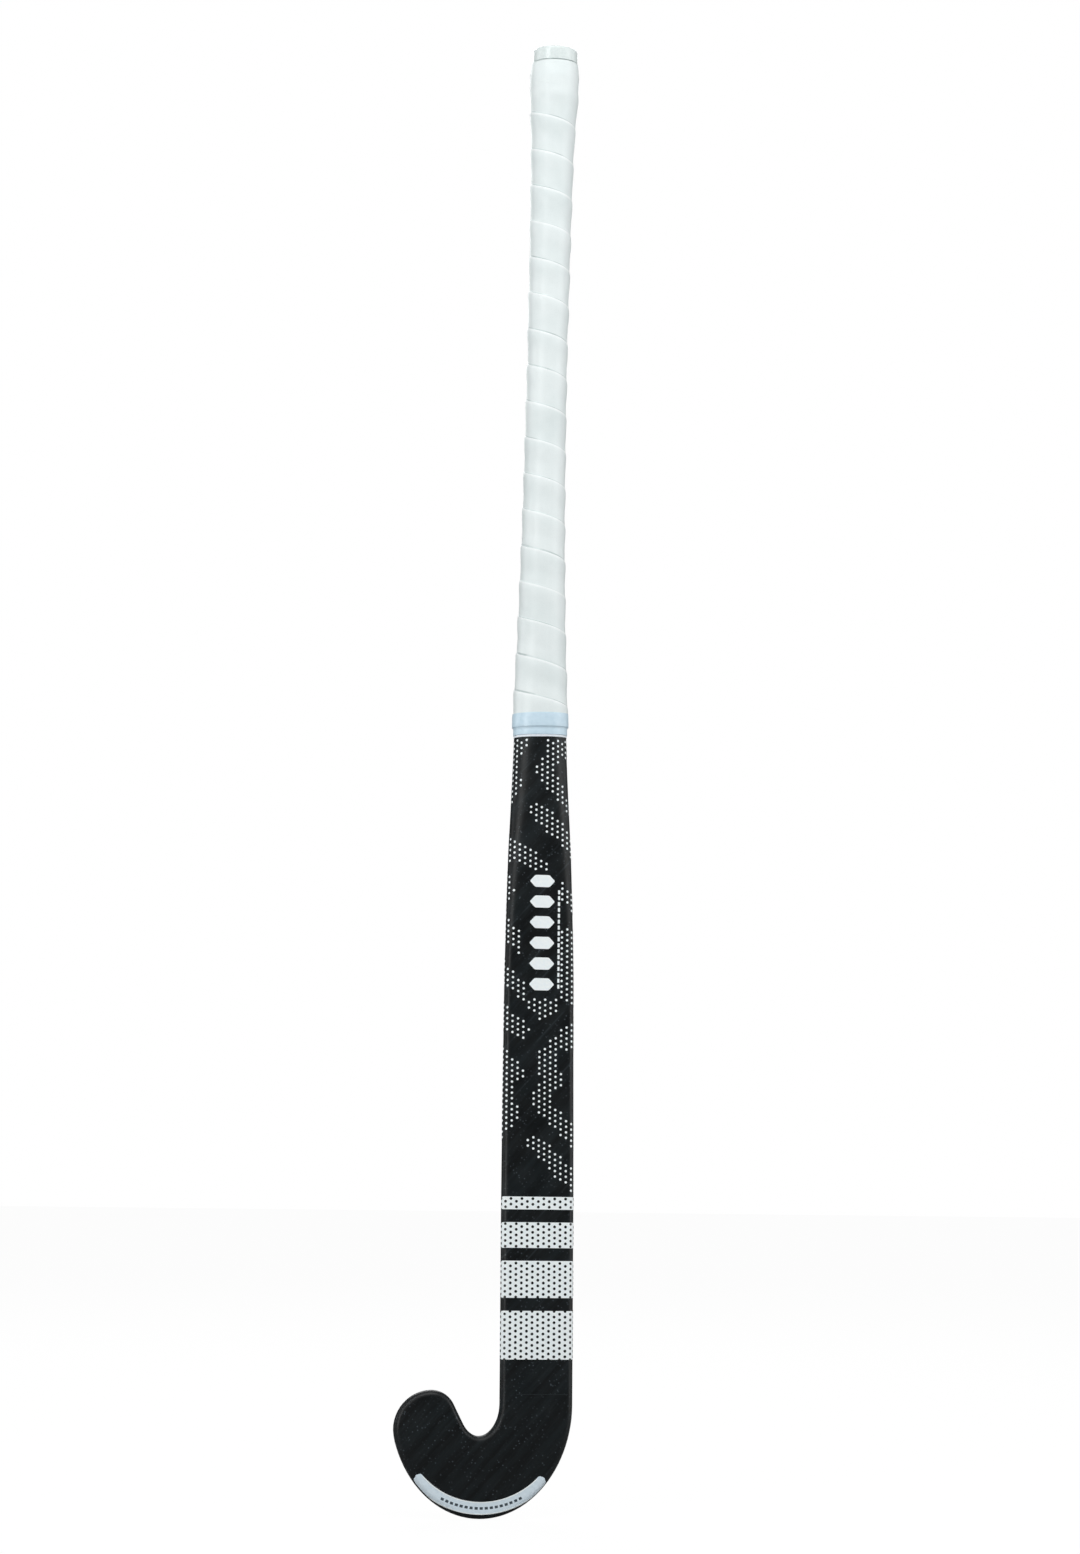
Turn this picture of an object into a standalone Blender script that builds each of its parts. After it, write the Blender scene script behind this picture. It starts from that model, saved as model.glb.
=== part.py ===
"""Field hockey stick, upright, toe towards -X, playing face towards -Y, in metres.

The stick is drawn straight, with its playing face in the plane y = 0 and its base at z = 0, then bent
into its bow by bow(). The origin is the middle of the grip, where a hand holds it.
"""

from math import atan, cos, hypot, pi, radians, sin, sqrt

import bpy
import numpy as np

MM = 0.001
LENGTH = 950.0  # mm, base of the head to the cap's top along the shaft
BOW = 20.0  # mm, how far the middle of the playing side lies behind the face
BOW_START = 60.0  # mm, height where the bend leaves the flat head
BOW_SKEW = 1.1  # moves the bow's deepest point up from the middle
GRIP_HOLD = 700.0  # mm, height of the hold point, the stick's origin

# The bare body: height, width, thickness (mm).
BODY = (
    (94, 46.1, 19.6), (197, 46.3, 20.2), (247, 45.9, 20.8), (285, 45.4, 21.3), (337, 44.8, 22.2),
    (362, 43.9, 22.7), (388, 42.7, 23.2), (414, 41.2, 23.7), (427, 40.1, 24.0), (440, 38.8, 24.2),
    (453, 37.5, 24.4), (467, 36.2, 24.5), (487, 34.6, 24.6), (502, 34.0, 24.7), (519, 33.3, 24.7),
    (545, 30.9, 24.6), (572, 28.2, 24.4), (592, 26.4, 24.2), (622, 25.0, 24.0), (651, 23.9, 23.9),
    (691, 23.0, 23.8), (751, 22.6, 23.8), (811, 22.8, 23.8), (871, 22.9, 24.0), (936, 23.2, 24.2),
)
# How much bigger the grip is than the bare handle all round: height, mm.
GRIP_GROW = (
    (510, 1.3), (545, 1.3), (572, 1.7), (592, 2.05), (691, 2.15), (751, 2.1), (811, 2.3),
    (LENGTH - 99, 2.6), (LENGTH - 79, 2.75), (LENGTH - 59, 3.2), (LENGTH - 39, 4.3),
    (LENGTH - 25, 5.2), (LENGTH - 18, 5.2), (LENGTH - 9, 4.4),
)
ROUND_FROM, ROUND_TO = 330.0, 560.0  # mm, where the D-shaped shaft turns into the oval handle
FRONT_RADIUS = 4.0  # mm, edge rounding beside the playing face

# Head outline (mm): the notch and the heel are elliptical arcs, the toe two circular ones.
HEAD_TOP = 94.0
NOTCH = (-35.9, 71.1, 12.85, 20.3)  # centre x, centre z, half width, half height
HEEL = (-34.3, 69.9, 57.35, 69.9)
TOE = (-65.7, 55.2, 24.0)  # centre x, centre z, radius
TOE_INNER = (-66.2, 63.2, 16.0)
TURN = 140.0  # degrees of the hook before the toe
HEEL_END, TOE_START, TOE_TIP, TOE_LINE_END = 162.6, 194.9, 96.0, 27.9  # degrees
TOE_STEPS = (0.12, 0.25, 0.38, 0.5, 0.62, 0.73, 0.83, 0.91, 0.97)

WALL = 2.6  # mm of laminate
GAP = 0.3  # mm between touching pieces
CORE_TOP = 130.0
FOAM_BOTTOM, FOAM_TOP = 520.0, LENGTH - 70
TUBE_TOP = LENGTH - 14
TAPE_BOTTOM, TAPE_TOP, TAPE_THICK = 502.0, LENGTH - 9.4, 0.8
WRAP_BOTTOM, WRAP_TOP = 592.0, TUBE_TOP - 0.2
CAP_BOTTOM, CAP_ROUND, CAP_GROW, SPIGOT_GROW = LENGTH - 9, 1.8, 3.4, 2.6
BAND_TOP, BAND_STEP, BAND_BOTTOM, EDGE_BOTTOM = 510.0, 501.5, 495.8, 494.2
BAND_THICK = 0.35
FILM = 0.3  # mm, thickness of a printed film

# Printed films (mm)
BAR_SIDE, BARS = 18.3, ((98.0, 128.0), (136.0, 159.0), (167.0, 183.0), (191.0, 199.0))  # half width; bottom, top
LOZENGE_TOP, LOZENGE_PITCH, LOZENGES = 404.0, 13.3, 6
LOZENGE_HALF, LOZENGE_TALL, LOZENGE_POINT, LOZENGE_X = 8.2, 7.8, 3.6, 1.0
SIDE_LINE = (11.2, 12.6, 331.0, 396.0)  # left, right, bottom, top
STRIPE_CENTRE, STRIPE_INNER, STRIPE_OUTER = (-34.3, 60.5), 49.6, 57.4
STRIPE_FROM, STRIPE_TO, STRIPE_MARGIN = -138.5, -44.5, 3.0
RECESS = 0.65  # mm, depth of the pocket that the heel stripe lies in


def between(table, z, column):
    """The value of a table's column at height z."""
    return float(np.interp(z, [row[0] for row in table], [row[column] for row in table]))


def ease(z, low, high):
    """0 below low, 1 above high, smooth between them."""
    t = min(max((z - low) / (high - low), 0.0), 1.0)
    return t * t * (3 - 2 * t)


def bow_depth(z):
    s = min(max((z - BOW_START) / (LENGTH - BOW_START), 0.0), 1.0)
    return BOW * sin(pi * s**BOW_SKEW)


def bow(x, y, z):
    """A point of the straight stick carried onto the bent one, in metres."""
    level = min(z, LENGTH - 1)
    slope = bow_depth(level + 0.5) - bow_depth(level - 0.5)
    tilt = atan(slope)
    depth = bow_depth(level) + slope * (z - level)
    return (x * MM, (depth + y * cos(tilt)) * MM, (z - y * sin(tilt)) * MM)


def grow(z):
    return between(GRIP_GROW, z, 1)


def section(z, extra=0.0, round_steps=4, dome_steps=7):
    """A ring round the body at height z, extra mm bigger all round: (x, y), anticlockwise seen from above."""
    half = between(BODY, z, 1) / 2 + extra
    thick = between(BODY, z, 2) + 2 * extra
    turn = ease(z, ROUND_FROM, ROUND_TO)
    reach = max(FRONT_RADIUS + extra, 1.0)
    corner = reach + (half - 0.4 - reach) * turn
    edge = reach + (thick / 2 - reach) * turn
    quarter = [pi / 2 * k / round_steps for k in range(round_steps + 1)]
    ring = [(-half + corner * (1 - cos(a)), edge * (1 - sin(a)) - extra) for a in quarter]
    ring += [(half - corner * (1 - cos(a)), edge * (1 - sin(a)) - extra) for a in quarter[::-1]]
    back = [pi * k / (2 * dome_steps) for k in range(1, 2 * dome_steps)]
    return ring + [(half * cos(a), edge + (thick - edge) * sin(a) - extra) for a in back]


def ring_at(z, extra=0.0):
    return [(x, y, z) for x, y in section(z, extra)]


def heights(low, high):
    """Levels to cut the straight part at, from low to high."""
    levels = [row[0] for row in BODY + GRIP_GROW] + [112, 132, 152, 174, 220, 310, 532, 558, 607, 636]
    levels += [670, 711, 731, 771, 791, 831]
    inside = sorted({float(z) for z in levels if low + 3 < z < high - 3})
    return [low] + inside + [high]


def material(name, colour, roughness, metallic=0.0):
    """A plain surface, its colour as sRGB hex."""
    surface = bpy.data.materials.new(name)
    surface.use_nodes = True
    shader = surface.node_tree.nodes["Principled BSDF"]
    levels = [int(colour[i : i + 2], 16) / 255 for i in (0, 2, 4)]
    linear = [c / 12.92 if c <= 0.04045 else ((c + 0.055) / 1.055) ** 2.4 for c in levels]
    shader.inputs["Base Color"].default_value = (*linear, 1)
    shader.inputs["Roughness"].default_value = roughness
    shader.inputs["Metallic"].default_value = metallic
    return surface


def solid(name, points, faces, surface, smooth=True):
    """A piece of the stick from points in mm of the straight stick."""
    mesh = bpy.data.meshes.new(name)
    mesh.from_pydata([bow(*point) for point in points], [], faces)
    mesh.materials.append(surface)
    made = bpy.data.objects.new(name, mesh)
    pieces.objects.link(made)
    made.parent = stick
    if smooth:
        mesh.shade_smooth()
        mesh.set_sharp_from_angle(angle=radians(40))
    return made


def loft(name, rings, surface, closed=False, tip=None):
    """Skins rings of equal length, bottom to top. A closed loft joins its last ring to its first, and a
    tip is a point that the first ring closes on."""
    count = len(rings[0])
    points = [point for ring in rings for point in ring]
    faces = []
    for k in range(len(rings) if closed else len(rings) - 1):
        low, high = k * count, (k + 1) % len(rings) * count
        for j in range(count):
            n = (j + 1) % count
            faces.append((low + j, low + n, high + n, high + j))
    if not closed:
        faces.append(tuple(range(len(points) - count, len(points))))
    if tip:
        points.append(tip)
        faces += [((j + 1) % count, j, len(points) - 1) for j in range(count)]
    elif not closed:
        faces.append(tuple(range(count - 1, -1, -1)))
    return solid(name, points, faces, surface)


def sleeve(name, levels, outer, inner, surface):
    """A tube round the body. outer(z) and inner(z) are its offsets from the bare body."""
    rings = [ring_at(z, outer(z)) for z in levels] + [ring_at(z, inner(z)) for z in levels[::-1]]
    loft(name, rings, surface, closed=True)


def arc(cx, cz, rx, rz, start, end, steps):
    """Points on an elliptical arc, angles in degrees."""
    angles = [radians(start + (end - start) * k / steps) for k in range(steps + 1)]
    return [(cx + rx * cos(a), cz + rz * sin(a)) for a in angles]


def along(path, fraction):
    """The point at a fraction of a path's length."""
    steps = [hypot(b[0] - a[0], b[1] - a[1]) for a, b in zip(path, path[1:])]
    left = fraction * sum(steps)
    for a, b, step in zip(path, path[1:], steps):
        if left <= step:
            return a[0] + (b[0] - a[0]) * left / step, a[1] + (b[1] - a[1]) * left / step
        left -= step
    return path[-1]


def head_sides(toe_steps):
    """Matching points on the notch side and the heel side of the head, from the shaft to the toe."""
    pairs = list(zip(arc(*NOTCH, 0, -TURN, 14), arc(*HEEL, 0, -TURN, 14)))
    inner = [pairs[-1][0]] + arc(*TOE_INNER, TOE_INNER[2], TOE_LINE_END, TOE_TIP, 24)
    outer = arc(*HEEL, -TURN, -HEEL_END, 12) + arc(*TOE, TOE[2], TOE_START, TOE_TIP, 36)
    return pairs + [(along(inner, step), along(outer, step)) for step in toe_steps]


def outline():
    """The head's whole outline as one path, from the shaft's notch side round the toe to its heel side."""
    inner = arc(*NOTCH, 0, -TURN, 30) + arc(*TOE_INNER, TOE_INNER[2], TOE_LINE_END, TOE_TIP, 20)
    outer = arc(*TOE, TOE[2], TOE_TIP, TOE_START, 24) + arc(*HEEL, -HEEL_END, 0, 60)
    high = 3 * HEAD_TOP
    return np.array([(NOTCH[0] + NOTCH[2], high)] + inner + outer + [(HEEL[0] + HEEL[2], high)])


def depth_in(x, z):
    """How far a point of the head lies from its outline, in mm."""
    a, b = rim[:-1], rim[1:]
    t = np.clip(((np.array((x, z)) - a) * (b - a)).sum(1) / ((b - a) ** 2).sum(1), 0, 1)
    away = a + (b - a) * t[:, None] - (x, z)
    return float(np.sqrt((away**2).sum(1)).min())


def head_ring(inner, outer, inset, round_steps=4, dome_steps=7):
    """A ring across the head's strip, matching section() point for point. inset shrinks it all round."""
    span = hypot(outer[0] - inner[0], outer[1] - inner[1])
    across = ((outer[0] - inner[0]) / span, (outer[1] - inner[1]) / span)
    middle = ((inner[0] + outer[0]) / 2, (inner[1] + outer[1]) / 2)
    half = span / 2 - inset
    radius = max(FRONT_RADIUS - inset, 1.0)
    room = BODY[0][2] - 2 * inset - radius
    corner = min(radius, half * 0.6)
    quarter = [pi / 2 * k / round_steps for k in range(round_steps + 1)]
    front = [-half + corner * (1 - cos(a)) for a in quarter]
    back = [half * cos(pi * k / (2 * dome_steps)) for k in range(1, 2 * dome_steps)]
    ring = []
    for offset in front + [-f for f in front[::-1]] + back:
        x, z = middle[0] + across[0] * offset, middle[1] + across[1] * offset
        inside = max(min(half - abs(offset), depth_in(x, z) - inset), 0.0)
        if len(ring) < 2 * len(quarter):
            y = radius - sqrt(radius**2 - max(radius - inside, 0.0) ** 2)
        else:
            y = radius + room * sqrt(1 - max(1 - inside / (BODY[0][1] / 2 - inset), 0.0) ** 2)
        ring.append((x, inset + y, z))
    return ring


def head_rings(inset=0.0, toe_steps=TOE_STEPS):
    """The head's rings, from the toe to the shaft."""
    return [head_ring(*pair, inset) for pair in head_sides(toe_steps)][::-1]


def film(name, edge, surface, front=-GAP - FILM, back=-GAP):
    """A thin film on the playing side from its outline (x, z) in mm, anticlockwise seen from the front."""
    count = len(edge)
    points = [(x, front, z) for x, z in edge] + [(x, back, z) for x, z in edge]
    faces = [tuple(range(count)), tuple(range(2 * count - 1, count - 1, -1))]
    faces += [(j, j + count, (j + 1) % count + count, (j + 1) % count) for j in range(count)]
    return solid(name, points, faces, surface, smooth=False)


def rounded(corners, radius, steps=3):
    """An outline with each corner replaced by a curve that starts radius mm from it."""
    made = []
    for k, (cx, cz) in enumerate(corners):
        ends = []
        for ox, oz in (corners[k - 1], corners[(k + 1) % len(corners)]):
            away = hypot(ox - cx, oz - cz)
            ends.append((cx + (ox - cx) * radius / away, cz + (oz - cz) * radius / away))
        (ax, az), (bx, bz) = ends
        for n in range(steps + 1):
            t = n / steps
            u = 1 - t
            made.append((u * u * ax + 2 * u * t * cx + t * t * bx, u * u * az + 2 * u * t * cz + t * t * bz))
    return made


def heel_stripe(spare=0.0, steps=22, trim=1.4):
    """The arc along the bottom of the head, kept a margin inside the head's outline, spare mm bigger all
    round, its ends rounded."""
    cx, cz = STRIPE_CENTRE
    low, high = [], []
    over = spare / STRIPE_INNER
    for k in range(steps + 1):
        a = radians(STRIPE_FROM) - over + (radians(STRIPE_TO - STRIPE_FROM) + 2 * over) * k / steps
        reach = STRIPE_OUTER + spare
        while depth_in(cx + reach * cos(a), cz + reach * sin(a)) < STRIPE_MARGIN - spare:
            reach -= 0.1
        cut = trim if k in (0, steps) else 0.0
        inner = STRIPE_INNER - spare + cut
        low.append((cx + (reach - cut) * cos(a), cz + (reach - cut) * sin(a)))
        high.append((cx + inner * cos(a), cz + inner * sin(a)))
    return low + high[::-1]


for existing in list(bpy.data.objects):
    bpy.data.objects.remove(existing)

pieces = bpy.data.collections.new("field_hockey_stick")
bpy.context.scene.collection.children.link(pieces)
cutters = bpy.data.collections.new("cutters")
bpy.context.scene.collection.children.link(cutters)
cutters.hide_render = True
stick = bpy.data.objects.new("stick_frame", None)
pieces.objects.link(stick)
stick.location = [-value for value in bow(0, between(BODY, GRIP_HOLD, 2) / 2, GRIP_HOLD)]

rim = outline()

carbon = material("black_carbon_laminate", "15191B", 0.42)
core_foam = material("head_core_foam", "8A7F66", 0.85)
foam = material("handle_foam", "D8CFA8", 0.9)
plug_plastic = material("plug_plastic", "2B2D30", 0.55)
cap_plastic = material("white_cap_plastic", "E4ECEA", 0.3)
cushion = material("cushion_wrap", "C9CDCB", 0.85)
grip = material("white_grip_tape", "E6F1F1", 0.6)
blue_tape = material("pale_blue_tape", "C8DDEA", 0.35)
white_edge = material("white_tape_edge", "E8EEF8", 0.4)
white_print = material("white_print", "DCEBF3", 0.45)
stripe_print = material("pale_stripe_print", "C9DAE4", 0.4)

# Shaft and head in one hollow laminate moulding, open at the butt. Its cavity runs on into the toe.
levels = heights(HEAD_TOP, TUBE_TOP)
outside = head_rings() + [ring_at(z) for z in levels]
inside = head_rings(WALL, TOE_STEPS[:5]) + [ring_at(z, -WALL) for z in levels]
tip_x, tip_z = arc(*TOE, TOE[2], TOE_TIP, TOE_TIP, 1)[0]
shell = loft("outer_shell", outside + inside[::-1], carbon, tip=(tip_x, FRONT_RADIUS, tip_z))

# The heel stripe lies in a shallow pocket, just below the playing face.
pocket = film("stripe_pocket", heel_stripe(GAP), carbon, front=-3.0, back=RECESS)
pieces.objects.unlink(pocket)
cutters.objects.link(pocket)
pocket.hide_render = True
pocket.display_type = "WIRE"
cut = shell.modifiers.new("stripe_pocket", "BOOLEAN")
cut.operation = "DIFFERENCE"
cut.solver = "EXACT"
cut.object = pocket
film("heel_stripe", heel_stripe(), stripe_print, front=0.02, back=RECESS - GAP)

# What fills the tube.
fill = WALL + GAP
core_steps = TOE_STEPS[:4] + (TOE_STEPS[4] - 0.03,)
core = head_rings(fill + 4 * GAP, core_steps) + [ring_at(z, -fill) for z in heights(HEAD_TOP, CORE_TOP)]
loft("head_core", core, core_foam)
loft("handle_foam", [ring_at(z, -fill) for z in heights(FOAM_BOTTOM, FOAM_TOP)], foam)
loft("butt_plug", [ring_at(z, -fill) for z in heights(FOAM_TOP + GAP, TUBE_TOP)], plug_plastic)

# Wraps on the handle, from the inside out, then the tape that finishes them.
sleeve(
    "cushion_wrap", heights(WRAP_BOTTOM, WRAP_TOP), lambda z: grow(z) - TAPE_THICK - GAP, lambda z: GAP, cushion
)
sleeve("grip_tape", heights(TAPE_BOTTOM, TAPE_TOP), grow, lambda z: grow(z) - TAPE_THICK, grip)
sleeve(
    "finishing_tape_upper",
    [BAND_STEP + GAP, BAND_TOP],
    lambda z: grow(z) + GAP + BAND_THICK,
    lambda z: grow(z) + GAP,
    blue_tape,
)
sleeve("finishing_tape_lower", [BAND_BOTTOM, BAND_STEP], lambda z: GAP + BAND_THICK, lambda z: GAP, blue_tape)
sleeve("tape_edge", [EDGE_BOTTOM, BAND_BOTTOM - GAP], lambda z: GAP + BAND_THICK, lambda z: GAP, white_edge)

# End cap: a spigot inside the grip's end, a rim as wide as the grip, its top edge rounded.
cap = [(TUBE_TOP + GAP, SPIGOT_GROW), (CAP_BOTTOM, SPIGOT_GROW), (CAP_BOTTOM, CAP_GROW)]
for k in range(5):
    a = pi / 2 * k / 4
    cap.append((LENGTH - CAP_ROUND * (1 - sin(a)), CAP_GROW - CAP_ROUND * (1 - cos(a))))
loft("end_cap", [ring_at(z, extra) for z, extra in cap], cap_plastic)

# Printed films on the playing side.
for number, (low, high) in enumerate(BARS, 1):
    corners = [(-BAR_SIDE, low), (BAR_SIDE, low), (BAR_SIDE, high), (-BAR_SIDE, high)]
    film(f"level_bar_{number}", rounded(corners, 3.0), white_print)
for number in range(1, LOZENGES + 1):
    top = LOZENGE_TOP - LOZENGE_PITCH * (number - 1)
    left, right, low = LOZENGE_X - LOZENGE_HALF, LOZENGE_X + LOZENGE_HALF, top - LOZENGE_TALL
    corners = [(left, (low + top) / 2), (left + LOZENGE_POINT, low), (right - LOZENGE_POINT, low)]
    corners += [(right, (low + top) / 2), (right - LOZENGE_POINT, top), (left + LOZENGE_POINT, top)]
    film(f"lozenge_{number}", rounded(corners, 0.8), white_print)
left, right, low, high = SIDE_LINE
rises = [low + (high - low) * k / 4 for k in range(5)]
film("side_line", [(left, low)] + [(right, z) for z in rises] + [(left, z) for z in rises[:0:-1]], white_print)
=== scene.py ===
"""Looks of the field hockey stick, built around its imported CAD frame.

The stick is thought of straight, in millimetres: its playing face in the plane y = 0, its base at z = 0, its
shaft along Z. Pieces are drawn on that straight stick and carried onto the bowed one by place(), which also
moves them to the frame's origin, the middle of the grip.
"""

from functools import lru_cache
from math import atan, cos, hypot, pi, radians, sin, sqrt

import bmesh
import bpy
import numpy as np
from mathutils import Matrix, Vector, noise as waves


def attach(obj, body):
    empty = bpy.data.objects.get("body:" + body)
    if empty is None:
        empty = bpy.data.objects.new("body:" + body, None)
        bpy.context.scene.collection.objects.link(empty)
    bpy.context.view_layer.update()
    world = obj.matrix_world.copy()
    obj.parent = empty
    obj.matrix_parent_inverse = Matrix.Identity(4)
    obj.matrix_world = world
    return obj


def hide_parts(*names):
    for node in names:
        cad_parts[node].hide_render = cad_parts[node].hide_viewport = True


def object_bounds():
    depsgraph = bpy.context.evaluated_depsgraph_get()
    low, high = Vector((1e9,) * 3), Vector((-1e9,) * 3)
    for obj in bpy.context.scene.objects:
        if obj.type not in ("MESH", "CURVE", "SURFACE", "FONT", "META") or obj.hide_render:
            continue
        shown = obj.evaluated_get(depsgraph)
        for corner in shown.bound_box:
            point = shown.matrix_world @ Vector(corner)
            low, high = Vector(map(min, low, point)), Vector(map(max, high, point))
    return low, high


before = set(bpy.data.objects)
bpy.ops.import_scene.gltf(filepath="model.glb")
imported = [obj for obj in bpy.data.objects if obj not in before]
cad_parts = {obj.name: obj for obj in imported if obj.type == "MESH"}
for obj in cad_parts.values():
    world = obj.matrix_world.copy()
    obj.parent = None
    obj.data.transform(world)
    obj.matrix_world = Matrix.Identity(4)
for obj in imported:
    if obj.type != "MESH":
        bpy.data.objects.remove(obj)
cad_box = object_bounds()

MM = 0.001
LENGTH = 950.0  # mm, base of the head to the cap's top along the shaft
BOW, BOW_START, BOW_SKEW = 20.0, 60.0, 1.1  # mm deep, mm up, how far the deepest point is moved up
GRIP_HOLD = 700.0  # mm, height of the frame's origin
TURN_PITCH, LAP = 23.9, 3.6  # mm the grip tape climbs each turn, and how far a turn covers the next one
SEAM_SHADE = 0.9  # mm of the tape next to a lap that is painted darker as painted shade

# The bare body: height, width, thickness (mm).
BODY = (
    (94, 46.1, 19.6), (197, 46.3, 20.2), (247, 45.9, 20.8), (285, 45.4, 21.3), (337, 44.8, 22.2),
    (362, 43.9, 22.7), (388, 42.7, 23.2), (414, 41.2, 23.7), (427, 40.1, 24.0), (440, 38.8, 24.2),
    (453, 37.5, 24.4), (467, 36.2, 24.5), (487, 34.6, 24.6), (502, 34.0, 24.7), (519, 33.3, 24.7),
    (545, 30.9, 24.6), (572, 28.2, 24.4), (592, 26.4, 24.2), (622, 25.0, 24.0), (651, 23.9, 23.9),
    (691, 23.0, 23.8), (751, 22.6, 23.8), (811, 22.8, 23.8), (871, 22.9, 24.0), (936, 23.2, 24.2),
)
# How much bigger the grip is than the bare handle all round: height, mm.
GRIP_GROW = (
    (510, 1.3), (545, 1.3), (572, 1.7), (592, 2.05), (691, 2.15), (751, 2.1), (811, 2.3), (851, 2.6),
    (871, 2.75), (891, 3.2), (911, 4.3), (925, 5.2), (932, 5.2), (941, 4.4),
)
ROUND_FROM, ROUND_TO = 330.0, 560.0  # mm, where the D-shaped shaft turns into the oval handle
FRONT_RADIUS, LEAST_RADIUS = 4.0, 1.0  # mm, edge rounding beside the playing face, and the least it may be
FLAT_KEPT = 0.4  # mm, half the flat that stays on the front of the round handle
HEAD_TOP, HEAD_STRAIGHT = 94.0, 72.0  # where the shaft's rings start, and where the hook leaves its sides
TUBE_TOP = LENGTH - 14

# Head outline (mm): the notch and the heel are elliptical arcs, the toe two circular ones.
NOTCH = (-35.9, 71.1, 12.85, 20.3)  # centre x, centre z, half width, half height
HEEL = (-34.3, 69.9, 57.35, 69.9)
TOE = (-65.7, 55.2, 24.0)  # centre x, centre z, radius
TOE_INNER = (-66.2, 63.2, 16.0)
TURN, HEEL_END, TOE_START, TOE_TIP, TOE_LINE_END = 140.0, 162.6, 194.9, 96.0, 27.9  # degrees
TOE_CROWD = 1.7  # how strongly the rings crowd together towards the toe's tip

# Handle (mm)
TAPE_BOTTOM, TAPE_TOP = 502.0, LENGTH - 9.6
BAND_TOP, BAND_STEP, BAND_BOTTOM, EDGE_BOTTOM = 510.0, 501.5, 495.8, 494.2
CAP_BOTTOM, CAP_ROUND, CAP_GROW = LENGTH - 9, 1.8, 3.4
CAP_SKIRT = 2.6  # how far the cap's skirt, hidden in the grip, stands out from the bare body
TAPE_SKIN, BAND_SKIN = 0.5, 0.3  # how thick the grip tape and the finishing tape are modelled

# Prints (mm)
PRINT_UP, DOT_UP = 0.09, 0.14  # how proud of the lacquer a print and a dot lie
OVERPRINT = 0.03  # how much higher a second ink lies over the first
PRINT_SUNK, DOT_SUNK = 0.12, 0.1  # how far a print and a dot reach down into the lacquer
BAR_SIDE, BAR_ROUND = 18.3, 3.2  # half width, and its corners
BARS = ((98.0, 128.0), (136.0, 159.0), (167.0, 183.0), (191.0, 199.0))  # bottom, top
BAR_WRAP = 7.5  # how far a bar runs on round the edge of the playing face
LOZENGE_TOP, LOZENGE_PITCH, LOZENGES = 404.0, 13.3, 6
LOZENGE_HALF, LOZENGE_TALL, LOZENGE_POINT, LOZENGE_X, LOZENGE_ROUND = 8.2, 7.8, 3.6, 1.0, 0.8
SIDE_LINE = (11.2, 12.6, 331.0, 396.0)  # left, right, bottom, top
DASH, DASH_GAP, DASH_ROUND = 2.6, 1.2, 0.3
STRIPE_CENTRE, STRIPE_INNER, STRIPE_OUTER = (-34.3, 60.5), 49.6, 57.4
STRIPE_FROM, STRIPE_TO = -141.0, -41.5  # degrees
STRIPE_MARGIN, STRIPE_ROUND = 0.9, 2.6  # how far it stays inside the outline, and how its ends are rounded
STRIPE_ROWS, STRIPE_NUDGE = 6, 0.05  # slices across it, and the step by which its edge is moved in
EDGE_LINE, EDGE_UP = 0.7, 0.1  # width of its bright edges, and how much higher the outer one lies
MARKS_FROM, MARKS_TO, MARK_STEP, MARK_SHARE = -118.0, -62.0, 3.4, 0.62  # degrees, and a mark's share of a step
MARK_INNER, MARK_OUTER = 52.7, 54.3
FILM_LEFT, FILM_RIGHT, FILM_END = -13.0, 19.5, 76.8  # where the shaft's lacquer film ends above the hook
FILM_LINE, FILM_UP = 0.45, 0.05  # its rim's height up the stick, and how proud it lies
DOT, HOLE, DOT_PITCH = 1.56, 1.8, 3.5  # a white dot, a hole in the white print, and how far apart they sit
DOT_SIDES, DOT_COLUMNS, DOTS_BOTTOM = 10, 15, 76.0  # columns to each side of the middle, and where they start
DOTS_CLEAR, BARS_CLEAR = 1.5, 2.0  # left blank below the white tape edge and above the bars

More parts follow.
